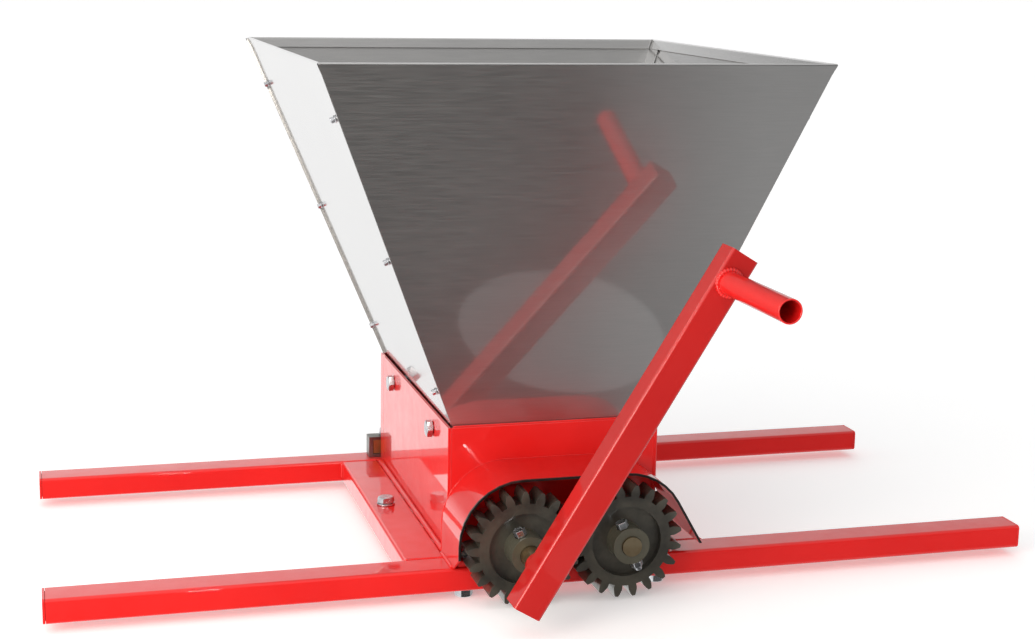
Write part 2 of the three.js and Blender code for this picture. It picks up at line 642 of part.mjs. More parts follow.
// A roller with rounded lobes along its whole length.
function makeRoller(name, side) {
  const x = side * AXLE.halfX;
  const pointsPerLobe = 8;
  const count = ROLLER.lobes * pointsPerLobe;
  const middleR = (ROLLER.tipR + ROLLER.valleyR) / 2;
  const swing = (ROLLER.tipR - ROLLER.valleyR) / 2;
  const outline = Array.from({ length: count }, (_, i) => {
    const angle = (i * 2 * Math.PI) / count;
    const radius = middleR + swing * Math.cos(ROLLER.lobes * angle);
    return [x + radius * Math.cos(angle), AXLE.z + radius * Math.sin(angle)];
  });
  const y0 = innerFrontY + ROLLER.endGap;
  const y1 = RAIL.backY - RAIL.depth - ROLLER.endGap;
  const body = extrudeAlongY(polygon(outline), y0, y1);
  const bore = barY(AXLE.radius + GAP, x, AXLE.z, y0 - PAST, y1 + PAST);
  addNode(name, cut(body, bore), aluminium);
}

makeRoller('drive_roller', -1);
makeRoller('driven_roller', 1);
makeGear('drive_gear', -1, HUB_FRONT.left);
makeGear('driven_gear', 1, HUB_FRONT.right);
makeShaft('drive_shaft', -1, armBackY + GAP, HUB_FRONT.left);
makeShaft('driven_shaft', 1, HUB_FRONT.right - AXLE.pastHub, HUB_FRONT.right);
makeCrossPin('drive_gear_pin', -1, HUB_FRONT.left);
makeCrossPin('driven_gear_pin', 1, HUB_FRONT.right);

// ---------------------------------------------------------------- gear guard

// The outer line of the guard from its left foot over both gears to its flared
// right end, and the same line one sheet further in.
function guardShape() {
  const outline = (radius, reversed) => {
    const left = [-AXLE.halfX, GUARD.centreZ];
    const right = [AXLE.halfX, GUARD.centreZ];
    const points = [[left[0] - radius, RAIL.height + GAP]];
    const arc = ([cx, cz], from, to, steps) => {
      for (let i = 0; i <= steps; i += 1) {
        const angle = THREE.MathUtils.lerp(from, to, i / steps);
        points.push([cx + radius * Math.cos(angle), cz + radius * Math.sin(angle)]);
      }
    };
    arc(left, Math.PI, Math.PI / 2, GUARD.leftSteps);
    arc(right, Math.PI / 2, GUARD.flare, GUARD.rightSteps);
    const [lastX, lastZ] = points.at(-1);
    const drop = lastZ - GUARD.endZ;
    points.push([lastX + drop * Math.tan(GUARD.flare), GUARD.endZ]);
    return reversed ? points.reverse() : points;
  };
  return polygon([...outline(GUARD.radius, false), ...outline(GUARD.radius - GUARD.sheet, true)]);
}

function makeGuard() {
  const band = extrudeAlongY(guardShape(), GUARD.frontY, BODY.frontY - GAP);
  // In front of the rail the lower corner is cut away on a slant.
  const corner = polygon([
    [GUARD.frontY - PAST, RAIL.height - PAST],
    [RAIL.frontY, RAIL.height - PAST],
    [RAIL.frontY, RAIL.height],
    [GUARD.frontY - PAST, GUARD.liftZ],
  ]);
  const slant = extrudeAlongX(corner, -CROSS.halfX - CROSS.width, CROSS.halfX + CROSS.width);
  addNode('gear_guard', cut(band, slant), redPaint);
}

makeGuard();

// --------------------------------------------------------------------- crank

const armDirection = new THREE.Vector3(Math.cos(CRANK.angle), 0, Math.sin(CRANK.angle));
const crankCentre = new THREE.Vector3(-AXLE.halfX, 0, AXLE.z);

// Turns a solid drawn along +Z at the origin to lie along the arm.
function alongArm(solid, distance, middleY) {
  const turn = THREE.MathUtils.radToDeg(Math.PI / 2 - CRANK.angle);
  const place = crankCentre.clone().addScaledVector(armDirection, distance);
  return solid.rotate([0, turn, 0]).translate([place.x, middleY, place.z]);
}

const armMiddleY = CRANK.frontY + CRANK.size / 2;

function makeArm() {
  const tube = extrudeAlongZ(tubeShape(CRANK.size, CRANK.size, CRANK.wall, CRANK.corner),
    -CRANK.below, CRANK.above, CORNER_STEPS);
  addNode('crank_arm', alongArm(tube, 0, armMiddleY), redPaint);
}

function makeArmPlug(name, end) {
  const half = CRANK.size / 2 - CRANK.wall - GAP;
  const inner = Math.abs(end) - CRANK.plug;
  const z0 = end < 0 ? end + CRANK.plugInset : inner;
  const z1 = end < 0 ? -inner : end - CRANK.plugInset;
  const outline = roundedRectangle(THREE.Shape, 2 * half, 2 * half, CRANK.plugCorner);
  const plug = extrudeAlongZ(outline, z0, z1, CORNER_STEPS);
  addNode(name, alongArm(plug, 0, armMiddleY), redPaint);
}

function makeCollar() {
  const y0 = armBackY + GAP;
  const x = -AXLE.halfX;
  const ring = barY(COLLAR.radius, x, AXLE.z, y0, y0 + COLLAR.length, SIDES.tube);
  const bore = barY(AXLE.radius + GAP, x, AXLE.z, y0 - PAST, y0 + COLLAR.length + PAST);
  addNode('crank_collar', cut(ring, bore), redPaint);
}

function makeHandle() {
  const place = crankCentre.clone().addScaledVector(armDirection, HANDLE.reach);
  const y1 = CRANK.frontY - GAP;
  const y0 = y1 - HANDLE.length;
  const tube = barY(HANDLE.radius, place.x, place.z, y0, y1, SIDES.tube);
  const bore = barY(HANDLE.radius - HANDLE.wall, place.x, place.z, y0 - PAST, y1 + PAST, SIDES.tube);
  addNode('crank_handle', cut(tube, bore), redPaint);
}

makeArm();
makeArmPlug('crank_arm_plug_low', -CRANK.below);
makeArmPlug('crank_arm_plug_high', CRANK.above);
makeCollar();
makeHandle();

// --------------------------------------------------------------------- frame

const handleFrontY = CRANK.frontY - GAP - HANDLE.length;
machine.position.set(-RAIL.middleX, -(handleFrontY + HOPPER.halfY) / 2, RAIL_BOLT.nut);

const grapeCrusher = new THREE.Group();
grapeCrusher.add(machine);

export default grapeCrusher;
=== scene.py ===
"""A hand-cranked grape crusher: stainless hopper, glossy red body and rails, black cast gears.

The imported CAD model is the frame. This script gives its nodes their finishes and fine edges, adds
welds, filled seams, the hopper's folded corners, chamfered bolts and flanged screws, and lights the
object on a pale floor. Everything is in metres, in the CAD model's frame.
"""

import json
import math

import bmesh
import bpy
from mathutils import Matrix, Vector


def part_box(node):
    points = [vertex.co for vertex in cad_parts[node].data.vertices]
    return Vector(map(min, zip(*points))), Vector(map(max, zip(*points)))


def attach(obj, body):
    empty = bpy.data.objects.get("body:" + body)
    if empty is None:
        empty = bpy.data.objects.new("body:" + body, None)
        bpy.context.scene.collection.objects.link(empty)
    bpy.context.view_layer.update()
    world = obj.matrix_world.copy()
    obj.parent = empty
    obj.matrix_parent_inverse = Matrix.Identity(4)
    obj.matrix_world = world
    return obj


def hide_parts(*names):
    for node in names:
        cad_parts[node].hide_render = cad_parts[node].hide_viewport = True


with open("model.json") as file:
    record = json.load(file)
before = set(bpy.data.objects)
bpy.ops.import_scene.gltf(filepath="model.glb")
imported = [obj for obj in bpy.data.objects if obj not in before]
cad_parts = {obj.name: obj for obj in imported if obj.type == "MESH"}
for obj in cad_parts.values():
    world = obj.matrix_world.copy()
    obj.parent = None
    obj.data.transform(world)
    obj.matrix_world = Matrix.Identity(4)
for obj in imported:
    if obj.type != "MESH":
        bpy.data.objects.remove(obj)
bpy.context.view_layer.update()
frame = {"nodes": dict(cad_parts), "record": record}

MM = 0.001
GAP = 0.3 * MM  # clearance between neighbouring CAD pieces
WALL = 2.5 * MM  # thickness of the body's plates
NECK_SPACE = 1 * MM  # between the hopper's neck and the plates round it
NECK_RISE = 1 * MM  # the neck ends this far above the plates, and the slanted panels start
SIDES = (("left", -1), ("right", 1))


def middle_of(node_name):
    """The middle of a CAD node's box."""
    low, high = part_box(node_name)
    return (low + high) / 2


def neck_top():
    """How high the hopper's neck reaches."""
    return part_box("body_plate_left")[1].z + NECK_RISE


# ------------------------------------------------------------------ node helpers


def add_node(tree, kind, **settings):
    """A new node, with its settings such as operation or data_type."""
    node = tree.nodes.new(kind)
    for key, value in settings.items():
        setattr(node, key, value)
    return node


def own_place(tree):
    """The piece's own coordinates, which move with it."""
    return add_node(tree, "ShaderNodeTexCoord").outputs["Object"]


def noise(tree, scale, stretch=(1, 1, 1), detail=4.0):
    """Noise over the piece, scale in cycles a metre, finer along an axis with a larger stretch."""
    mapping = add_node(tree, "ShaderNodeMapping")
    mapping.inputs["Scale"].default_value = stretch
    texture = add_node(tree, "ShaderNodeTexNoise")
    texture.inputs["Scale"].default_value = scale
    texture.inputs["Detail"].default_value = detail
    tree.links.new(own_place(tree), mapping.inputs["Vector"])
    tree.links.new(mapping.outputs["Vector"], texture.inputs["Vector"])
    return texture.outputs[0]


def remap(tree, value, start, end, low, high):
    """value from start to end becomes low to high."""
    node = add_node(tree, "ShaderNodeMapRange")
    tree.links.new(value, node.inputs["Value"])
    for name, number in zip(("From Min", "From Max", "To Min", "To Max"), (start, end, low, high)):
        node.inputs[name].default_value = number
    return node.outputs["Result"]


def combine(tree, operation, first, second):
    """Two numbers put together by an operation such as ADD or MULTIPLY."""
    node = add_node(tree, "ShaderNodeMath", operation=operation)
    tree.links.new(first, node.inputs[0])
    tree.links.new(second, node.inputs[1])
    return node.outputs[0]


def mix_colours(tree, share, first, second):
    """first where share is 0 and second where it is 1. A colour is a tuple or a node's output."""
    node = add_node(tree, "ShaderNodeMix", data_type="RGBA")
    tree.links.new(share, node.inputs[0])
    for socket, colour in ((node.inputs[6], first), (node.inputs[7], second)):
        if isinstance(colour, tuple):
            socket.default_value = (*colour, 1)
        else:
            tree.links.new(colour, socket)
    return node.outputs[2]


def add_bump(tree, shader, height, distance, strength):
    """Fine relief: height from 0 to 1 stands for distance, softened by strength."""
    bump = add_node(tree, "ShaderNodeBump")
    bump.inputs["Distance"].default_value = distance
    bump.inputs["Strength"].default_value = strength
    tree.links.new(height, bump.inputs["Height"])
    tree.links.new(bump.outputs["Normal"], shader.inputs["Normal"])


def start_material(name, **constants):
    """A new material, with numbers that are the same all over set on the shader's own sockets."""
    material = bpy.data.materials.new(name)
    material.use_nodes = True
    shader = material.node_tree.nodes["Principled BSDF"]
    for key, value in constants.items():
        shader.inputs[key.replace("_", " ")].default_value = value
    return material, material.node_tree, shader


# --------------------------------------------------------------------- materials


def dark_in_front(tree, colour, edge):
    """A near-black colour in front of the place edge along Y, and colour behind it."""
    dark_edge_colour = (0.012, 0.008, 0.007)
    blend = 0.3 * MM
    axes = add_node(tree, "ShaderNodeSeparateXYZ")
    tree.links.new(own_place(tree), axes.inputs[0])
    painted = remap(tree, axes.outputs["Y"], edge - blend, edge + blend, 0, 1)
    return mix_colours(tree, painted, dark_edge_colour, colour)


def make_red_paint(name, red, dark_edge=None):
    """Glossy paint: a clear mirror skin over a softer one, slightly uneven in tone and gloss.
    red is 1 for the body's paint, and less gives a darker red that is painted shade. In front of
    the place along Y given as the last argument, the colour is near black."""
    material, tree, shader = start_material(
        name, Coat_Weight=1.0, Coat_Roughness=0.04, Coat_IOR=1.5, Specular_IOR_Level=0.2)
    lighter = (0.78 * red, 0.013, 0.011)
    darker = (0.71 * red, 0.010, 0.009)
    tone = remap(tree, noise(tree, 9), 0.3, 0.7, 0, 1)
    colour = mix_colours(tree, tone, lighter, darker)
    if dark_edge is not None:
        colour = dark_in_front(tree, colour, dark_edge)
    tree.links.new(colour, shader.inputs["Base Color"])
    rough = remap(tree, noise(tree, 60), 0.3, 0.7, 0.3, 0.42)
    tree.links.new(rough, shader.inputs["Roughness"])
    add_bump(tree, shader, noise(tree, 420, detail=2.0), 0.02 * MM, 0.3)
    return material


def make_stainless(name, grain, polish, satin):
    """Bright rolled sheet: a satin metal under a polish that mirrors what is near the sheet.
    grain is the stretch of the metal's noise, large across the rolling direction, and satin its
    roughness. polish is the refractive index of the mirror layer, higher for a stronger mirror."""
    material, tree, shader = start_material(
        name, Metallic=1.0, Coat_Weight=1.0, Coat_Roughness=0.06, Coat_IOR=polish)
    hairs = noise(tree, 40, grain, detail=3.0)
    cloud = noise(tree, 7, detail=5.0)
    darker = (0.50, 0.493, 0.485)
    lighter = (0.56, 0.553, 0.545)
    tone = remap(tree, combine(tree, "ADD", hairs, cloud), 0.7, 1.3, 0, 1)
    colour = mix_colours(tree, tone, darker, lighter)
    tree.links.new(colour, shader.inputs["Base Color"])
    rough = remap(tree, hairs, 0.35, 0.65, 0.92 * satin, 1.08 * satin)
    tree.links.new(rough, shader.inputs["Roughness"])
    return material


HUB_RADIUS = 15 * MM  # of the turned hub of a gear


def distance_from_axis(tree, centre):
    """How far each place is from an axis along Y through centre."""
    away = add_node(tree, "ShaderNodeVectorMath", operation="SUBTRACT")
    away.inputs[1].default_value = centre
    flat = add_node(tree, "ShaderNodeVectorMath", operation="MULTIPLY")
    flat.inputs[1].default_value = (1, 0, 1)
    length = add_node(tree, "ShaderNodeVectorMath", operation="LENGTH")
    tree.links.new(own_place(tree), away.inputs[0])
    tree.links.new(away.outputs[0], flat.inputs[0])
    tree.links.new(flat.outputs[0], length.inputs[0])
    return length.outputs["Value"]


def make_cast_iron(name, centre, pitch_radius):
    """Dark cast iron with a sandy skin, rubbed brighter where the teeth of a gear run, and of the
    cleaner colour of turned iron at the hub."""
    material, tree, shader = start_material(
        name, Metallic=0.5, Coat_Weight=0.6, Coat_Roughness=0.2, Coat_IOR=1.6)
    black_skin = (0.045, 0.041, 0.033)
    stained_skin = (0.10, 0.092, 0.07)
    rubbed_metal = (0.24, 0.23, 0.19)
    turned_metal = (0.13, 0.122, 0.085)
    most_rubbing = 0.2
    distance = distance_from_axis(tree, centre)
    sand = noise(tree, 380, detail=6.0)
    stain = remap(tree, noise(tree, 45), 0.35, 0.65, 0, 1)
    colour = mix_colours(tree, stain, black_skin, stained_skin)
    rubbed = remap(tree, distance, pitch_radius - 3 * MM, pitch_radius + 5 * MM, 0, most_rubbing)
    colour = mix_colours(tree, rubbed, colour, rubbed_metal)
    turned = remap(tree, distance, HUB_RADIUS + 0.5 * MM, HUB_RADIUS + 0.2 * MM, 0, 1)
    colour = mix_colours(tree, turned, colour, turned_metal)
    tree.links.new(colour, shader.inputs["Base Color"])
    rough = remap(tree, sand, 0.3, 0.7, 0.32, 0.52)
    tree.links.new(rough, shader.inputs["Roughness"])
    add_bump(tree, shader, sand, 0.25 * MM, 0.7)
    return material


def make_oiled_steel(name, clean, oiled):
    """Steel with fine rings from the lathe or the mill, and a bloom of old oil."""
    material, tree, shader = start_material(name, Metallic=1.0)
    rings = noise(tree, 30, (1, 40, 1), detail=3.0)
    bloom = remap(tree, noise(tree, 55), 0.4, 0.65, 0, 1)
    colour = mix_colours(tree, bloom, clean, oiled)
    tree.links.new(colour, shader.inputs["Base Color"])
    tree.links.new(remap(tree, rings, 0.3, 0.7, 0.28, 0.46), shader.inputs["Roughness"])
    add_bump(tree, shader, rings, 0.03 * MM, 0.5)
    return material


def make_zinc():
    """Bright zinc plating with faint cloudy spangles."""
    material, tree, shader = start_material("zinc_fastener", Metallic=1.0)
    bright = (0.66, 0.67, 0.69)
    dull = (0.48, 0.49, 0.51)
    cloud = remap(tree, noise(tree, 240), 0.35, 0.65, 0, 1)
    colour = mix_colours(tree, cloud, bright, dull)
    tree.links.new(colour, shader.inputs["Base Color"])
    tree.links.new(remap(tree, cloud, 0, 1, 0.2, 0.36), shader.inputs["Roughness"])
    add_bump(tree, shader, noise(tree, 700), 0.03 * MM, 0.4)
    return material


def make_bronze():
    """Sintered bronze, matt and slightly pitted."""
    material, tree, shader = start_material("bronze", Metallic=1.0)
    lighter = (0.50, 0.32, 0.12)
    darker = (0.36, 0.23, 0.10)
    pits = noise(tree, 900, detail=3.0)
    tone = remap(tree, noise(tree, 80), 0.3, 0.7, 0, 1)
    colour = mix_colours(tree, tone, lighter, darker)
    tree.links.new(colour, shader.inputs["Base Color"])
    tree.links.new(remap(tree, pits, 0.3, 0.7, 0.34, 0.55), shader.inputs["Roughness"])
    add_bump(tree, shader, pits, 0.05 * MM, 0.5)
    return material


def make_cast_aluminium():
    """Roller castings with a grainy skin and darker stains in it."""
    material, tree, shader = start_material("cast_aluminium", Metallic=1.0)
    clean = (0.58, 0.59, 0.60)
    stained = (0.42, 0.42, 0.42)
    grain = noise(tree, 500, detail=5.0)
    stain = remap(tree, noise(tree, 25), 0.35, 0.7, 0, 1)
    colour = mix_colours(tree, stain, clean, stained)
    tree.links.new(colour, shader.inputs["Base Color"])
    tree.links.new(remap(tree, grain, 0.3, 0.7, 0.36, 0.54), shader.inputs["Roughness"])
    add_bump(tree, shader, grain, 0.12 * MM, 0.6)
    return material


ALONG_X = (1, 25, 25)  # a grain along X: the noise is fine in the other two directions
ALONG_Y = (10, 1, 10)
PITCH_RADIUS = (middle_of("driven_gear").x - middle_of("drive_gear").x) / 2  # two equal gears
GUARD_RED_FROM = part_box("gear_guard")[0].y + 1.2 * MM  # its front edge is near black

finishes = {
    "red_paint": make_red_paint("red_paint", red=1.0),
    "stainless": make_stainless("stainless", ALONG_X, polish=2.7, satin=0.46),
    "bright_steel": make_oiled_steel(
        "bright_steel", clean=(0.48, 0.38, 0.24), oiled=(0.34, 0.23, 0.12)),
    "zinc_fastener": make_zinc(),
    "bronze": make_bronze(),
    "cast_aluminium": make_cast_aluminium(),
}
# The crank's red is darker than the body's: painted shade.
shaded_crank_paint = make_red_paint("red_paint_crank_shaded", red=0.68)
special_finishes = {  # of single nodes, whatever their slot
    "rear_channel": make_oiled_steel(
        "channel_steel", clean=(0.30, 0.30, 0.29), oiled=(0.17, 0.16, 0.14)),
    "crank_arm": shaded_crank_paint,
    "crank_arm_plug_low": shaded_crank_paint,
    "crank_arm_plug_high": shaded_crank_paint,
    "crank_collar": shaded_crank_paint,
    # The guard's red is a little darker than the body's: painted shade.
    "gear_guard": make_red_paint("red_paint_guard_shaded", red=0.9, dark_edge=GUARD_RED_FROM),
}
for hand, _ in SIDES:
    special_finishes[f"hopper_panel_{hand}"] = make_stainless(
        f"stainless_side_{hand}", ALONG_Y, polish=3.6, satin=0.25)
for gear in ("drive_gear", "driven_gear"):
    special_finishes[gear] = make_cast_iron(f"cast_iron_{gear}", middle_of(gear), PITCH_RADIUS)

# --------------------------------------------------------------------- CAD nodes

EDGE = {  # width of the fine edge that each finish leaves on a corner
    "red_paint": 0.8 * MM,
    "stainless": 0.35 * MM,
    "cast_iron": 0.5 * MM,
    "bright_steel": 0.5 * MM,
    "zinc_fastener": 0.5 * MM,
    "bronze": 0.4 * MM,
    "cast_aluminium": 0.6 * MM,
}
SHARP = math.radians(33)  # corners sharper than this get a fine edge, and others are smooth
slot_of = {row["node"]: row["material_slot"] for row in frame["record"]["subparts"]}


def soften(piece, width):
    """Joins the faces of one plane, rounds the sharp corners to a width and smooths the rest. The
    large flat faces keep their own direction, so that they mirror the room without a bend."""
    piece.modifiers.new("join_vertices", "WELD").merge_threshold = 0.01 * MM
    flatten = piece.modifiers.new("join_planes", "DECIMATE")
    flatten.decimate_type = "DISSOLVE"
    flatten.angle_limit = math.radians(0.4)
    edge = piece.modifiers.new("fine_edge", "BEVEL")
    edge.width = width
    edge.segments = 2
    edge.limit_method = "ANGLE"
    edge.angle_limit = SHARP
    edge.harden_normals = True
    even = piece.modifiers.new("flat_faces", "WEIGHTED_NORMAL")
    even.mode = "FACE_AREA"
    even.weight = 100
    even.keep_sharp = True
    piece.data.polygons.foreach_set("use_smooth", [True] * len(piece.data.polygons))


def drop_imported_normals(piece):
    """Clears the shading directions stored with a node, which would override the modifiers'."""
    bpy.context.view_layer.objects.active = piece
    bpy.ops.mesh.customdata_custom_splitnormals_clear()


for node_name, node in frame["nodes"].items():
    slot = slot_of[node_name]
    node.data.materials.clear()
    node.data.materials.append(special_finishes.get(node_name) or finishes[slot])
    drop_imported_normals(node)
    soften(node, EDGE[slot])

# ---------------------------------------------------------------- making pieces


def finish_piece(name, mesh_builder, slot, body):
    """Turns a bmesh into an object with its finish, riding on its body."""
    mesh = bpy.data.meshes.new(name)
    bmesh.ops.recalc_face_normals(mesh_builder, faces=mesh_builder.faces)
    mesh_builder.to_mesh(mesh)
    mesh_builder.free()
    mesh.materials.append(finishes[slot])
    piece = bpy.data.objects.new(name, mesh)
    bpy.context.scene.collection.objects.link(piece)
    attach(piece, body)
    return piece


def stack_rings(builder, rings, closed=False):
    """Skins rings of points one after the other. The last one joins the first if closed, and
    otherwise the two ends are closed with a face."""
    rows = [[builder.verts.new(point) for point in ring] for ring in rings]
    count = len(rows[0])
    following = rows[1:] + rows[:1] if closed else rows[1:]
    for first, second in zip(rows, following):
        for i in range(count):
            j = (i + 1) % count
            builder.faces.new((first[i], first[j], second[j], second[i]))
    if not closed:
        builder.faces.new(rows[0])
        builder.faces.new(rows[-1])


# ------------------------------------------------------------------------- welds

RIPPLE_PITCH = 2.2 * MM  # from one ripple of a weld to the next
RINGS_IN_RIPPLE = 5
RIPPLE = 0.16  # how much a weld swells at each ripple, as a share of its width
HAND_WELD_RIPPLE = 0.35  # a coarser weld
LONG_WELD_RIPPLE = 0.1  # a finer one
BEAD_SIDES = 10
END_LENGTH = 1.5  # of a bead's rounded ends, in radii
BEAD_RADIUS = {
    "handle": 2.2 * MM,
    "cross_member": 1.4 * MM,
    "guard_foot": 1.6 * MM,
    "guard_plate": 0.35 * MM,
    "upright_seam": 0.5 * MM,
    "hopper_seam": 1.0 * MM,
}


def even_steps(path, step, closed):
    """Points an even step apart along a line of points."""
    line = list(path) + ([path[0]] if closed else [])
    reach = [0.0]
    for a, b in zip(line, line[1:]):
        reach.append(reach[-1] + (b - a).length)
    count = max(4, round(reach[-1] / step))
    points = []
    leg = 0
    for i in range(count if closed else count + 1):
        distance = reach[-1] * i / count
        while leg < len(line) - 2 and reach[leg + 1] < distance:
            leg += 1
        share = (distance - reach[leg]) / max(reach[leg + 1] - reach[leg], 1e-9)
        points.append(line[leg].lerp(line[leg + 1], share))
    return points


def swell_at(distance, ripple):
    """The width of a bead at a distance along it, as a share of its usual width. Each ripple rises
    and drops off sharply, and the ripples differ a little in size."""
    swell = 1 + ripple * ((distance / RIPPLE_PITCH) % 1 - 0.5)
    return swell * (1 + 0.35 * ripple * math.sin(distance / (3.1 * RIPPLE_PITCH)))


def rounded_end(from_end, radius, step):
    """The share of its width that an open bead has near an end, where it narrows to a small tip."""
    taper = min(1.0, (from_end + 0.2 * step) / (END_LENGTH * radius))
    return math.sqrt(taper * (2 - taper))


def add_bead(name, path, radius, body, ripple=RIPPLE, closed=False, slot="red_paint"):
    """A bead along a line of points. It is smooth if ripple is 0, and closed if it is a loop."""
    step = RIPPLE_PITCH / RINGS_IN_RIPPLE
    points = even_steps(path, step, closed)
    count = len(points)
    side = None
    rings = []
    for i, point in enumerate(points):
        after = points[(i + 1) % count] if closed or i < count - 1 else point
        before = points[i - 1] if closed or i > 0 else point
        along = (after - before).normalized()
        side = side or along.orthogonal()
        side = (side - along * side.dot(along)).normalized()
        up = along.cross(side)
        ring_radius = radius * swell_at(i * step, ripple)
        if not closed:
            ring_radius *= rounded_end(min(i, count - 1 - i) * step, radius, step)
        rings.append([
            point + ring_radius * (math.cos(turn) * side + math.sin(turn) * up)
            for turn in (2 * math.pi * k / BEAD_SIDES for k in range(BEAD_SIDES))
        ])
    builder = bmesh.new()
    stack_rings(builder, rings, closed)
    piece = finish_piece(name, builder, slot, body)
    piece.data.polygons.foreach_set("use_smooth", [True] * len(piece.data.polygons))


def arc(centre, radius, start, end, steps=24):
    """Points of an arc in X and Z, seen from the front, angles counted from +X."""
    turns = [start + (end - start) * i / steps for i in range(steps + 1)]
    return [centre + radius * Vector((math.cos(t), 0, math.sin(t))) for t in turns]


def weld_handle():
    """A ring of weld round the foot of the handle, on the front of the crank arm."""
    low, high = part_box("crank_handle")
    centre = middle_of("crank_handle")
    foot = Vector((centre.x, high.y, centre.z))
    outside = 0.4 * MM  # from the handle to the middle of the bead
    circle = arc(foot, (high.x - low.x) / 2 + outside, 0, 2 * math.pi, steps=48)[:-1]
    add_bead("weld_handle", circle, BEAD_RADIUS["handle"], "crank",
             ripple=HAND_WELD_RIPPLE, closed=True)


def weld_cross_members():
    """Each end of a cross member is welded to its rail, up one side, over the top and down."""
    corner = 3 * MM  # the bead cuts across the tube's upper corners
    foot_height = 4 * MM
    sunk = 0.6 * MM  # the middle of the bead, below the tube's top
    for hand, _ in SIDES:
        low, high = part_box(f"cross_member_{hand}")
        foot = low.z + foot_height
        shoulder = high.z - corner
        top = high.z - sunk
        for end, y in (("front", low.y), ("rear", high.y)):
            add_bead(f"weld_cross_{hand}_{end}", [
                Vector((low.x, y, foot)),
                Vector((low.x, y, shoulder)),
                Vector((low.x + corner, y, top)),
                Vector((high.x - corner, y, top)),
                Vector((high.x, y, shoulder)),
                Vector((high.x, y, foot)),
            ], BEAD_RADIUS["cross_member"], "frame")


def weld_plate_feet():
    """A long bead joins the foot of each side plate to the cross member beside it."""
    below = 1 * MM  # the middle of the bead, below the plate's foot
    overlap = 0.6 * MM  # of the bead with the plate and with the cross member
    for hand, side in SIDES:
        plate_low, plate_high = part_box(f"body_plate_{hand}")
        cross_low, cross_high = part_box(f"cross_member_{hand}")
        face = plate_low.x if side < 0 else plate_high.x
        edge = cross_high.x if side < 0 else cross_low.x
        x = (face + edge) / 2
        z = plate_low.z - below
        radius = abs(face - edge) / 2 + overlap
        path = [Vector((x, plate_low.y + radius, z)), Vector((x, cross_high.y - radius, z))]
        add_bead(f"weld_foot_{hand}", path, radius, "frame", ripple=LONG_WELD_RIPPLE)


def fill_upright_seams():
    """Paint fills the seams between the front plate and the side plates."""
    low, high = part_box("body_plate_front")
    end_space = 1 * MM
    sunk = 0.35 * MM  # the middle of the bead, behind the plate's face
    y = low.y + sunk
    for hand, side in SIDES:
        x = (low.x if side < 0 else high.x) + side * GAP / 2
        path = [Vector((x, y, low.z + end_space)), Vector((x, y, high.z - end_space))]
        add_bead(f"seam_front_{hand}", path, BEAD_RADIUS["upright_seam"], "frame", ripple=0)


def fill_hopper_seams():
    """Paint fills the seams between the hopper and the top of the front and back plates."""
    low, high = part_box("body_plate_front")
    back_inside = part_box("body_plate_back")[1].y - WALL
    end_space = 2 * MM
    outside = 0.3 * MM  # the middle of the bead, from the plate's inner face
    raised = 0.2 * MM  # and from its top
    z = high.z + raised
    for end, inside, out in (("front", high.y, -1), ("back", back_inside, 1)):
        y = inside + out * outside
        path = [Vector((low.x + end_space, y, z)), Vector((high.x - end_space, y, z))]
        add_bead(f"seam_hopper_{end}", path, BEAD_RADIUS["hopper_seam"], "frame", ripple=0)


GUARD_FLARE = math.radians(30)  # lean of the guard's right end


def weld_guard():
    """The guard is welded to the front plate along its outside, and its left foot to the rail."""
    low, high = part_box("gear_guard")
    radius = middle_of("drive_shaft").x - low.x
    z = high.z - radius
    forward = 0.3 * MM  # the middle of the bead, from the guard's rear edge
    y = high.y - forward
    left = Vector((middle_of("drive_shaft").x, y, z))
    right = Vector((middle_of("driven_shaft").x, y, z))
    path = [Vector((low.x, y, low.z + 1.5 * MM))]
    path += arc(left, radius, math.pi, math.pi / 2)
    path += arc(right, radius, math.pi / 2, GUARD_FLARE)
    add_bead("weld_guard_plate", path, BEAD_RADIUS["guard_plate"], "frame", ripple=0)
    foot_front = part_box("front_rail")[0].y + 3 * MM
    foot_rear = high.y - 1 * MM
    path = [Vector((low.x, foot_front, low.z)), Vector((low.x, foot_rear, low.z))]
    add_bead("weld_guard_foot", path, BEAD_RADIUS["guard_foot"], "frame")


weld_handle()
weld_cross_members()
weld_plate_feet()
fill_upright_seams()
fill_hopper_seams()
weld_guard()

# ---------------------------------------------------------------- hopper corners

FOLD_RADIUS = 0.9 * MM
PROUD_REACH = 3.2 * MM  # how far the back panel's sheet reaches past the side panels
PROUD_FRONT = -0.95 * MM  # and where its front and back faces are, from the middle of the fold
PROUD_BACK = 0.6 * MM
FOLD_START = 0.004  # share of the corner's length that is left free below the rim


def neck_points(panel_name):
    """The points of a hopper panel that are in its neck."""
    below = neck_top() - 2 * MM
    points = (vertex.co for vertex in frame["nodes"][panel_name].data.vertices)
    return [point for point in points if point.z < below]


def add_proud_edge(hand, side, rim, neck):
    """The back panel's sheet reaches a little past the side panel, as a narrow flat strip."""
    section = [
        Vector((0, PROUD_FRONT, 0)),
        Vector((side * PROUD_REACH, PROUD_FRONT, 0)),
        Vector((side * PROUD_REACH, PROUD_BACK, 0)),
        Vector((0, PROUD_BACK, 0)),
    ]
    builder = bmesh.new()
    stack_rings(builder, [[end + corner for corner in section] for end in (rim, neck)])
    finish_piece(f"hopper_proud_edge_{hand}", builder, "stainless", "frame")


